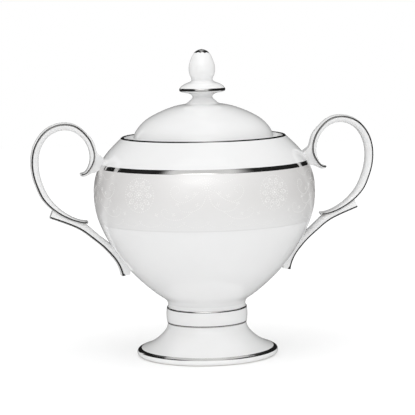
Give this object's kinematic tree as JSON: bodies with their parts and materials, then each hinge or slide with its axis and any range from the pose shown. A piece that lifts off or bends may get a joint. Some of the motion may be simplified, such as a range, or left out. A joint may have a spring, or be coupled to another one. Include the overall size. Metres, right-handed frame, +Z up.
{
  "type": "covered sugar bowl",
  "caption": "Footed china sugar bowl with a lift-off domed lid, egg finial and open scroll handles, trimmed with platinum lines and a pearl lustre zone.",
  "frame": {"origin": "centre of the foot's contact ring, on the surface the bowl stands on", "axes": "+Z up along the bowl's axis, +X out through the right handle, -Y towards the viewer"},
  "size_m": [0.188, 0.1202, 0.1663],
  "materials": {
    "china": "glossy white glaze",
    "platinum": "burnished mirror",
    "pearl_lustre": "satin pearl lustre glaze"
  },
  "bodies": {
    "bowl": {"bowl_body": "china", "pedestal_foot": "china", "handle_left": "china", "handle_right": "china", "rim_line": "platinum", "shoulder_band": "platinum", "lustre_band": "pearl_lustre", "foot_collar_upper_line": "platinum", "foot_collar_lower_line": "platinum", "foot_edge_band": "platinum", "handle_left_scroll_line": "platinum", "handle_left_branch_line": "platinum", "handle_right_scroll_line": "platinum", "handle_right_branch_line": "platinum"},
    "lid": {"lid_dome": "china", "knob": "china", "knob_flange_line": "platinum", "knob_tip": "platinum"}
  },
  "joints": [
    {"name": "lid_lift", "type": "slide", "parent": "bowl", "child": "lid", "axis": [0, 0, 1], "range_m": [0, 0.12]}
  ]
}
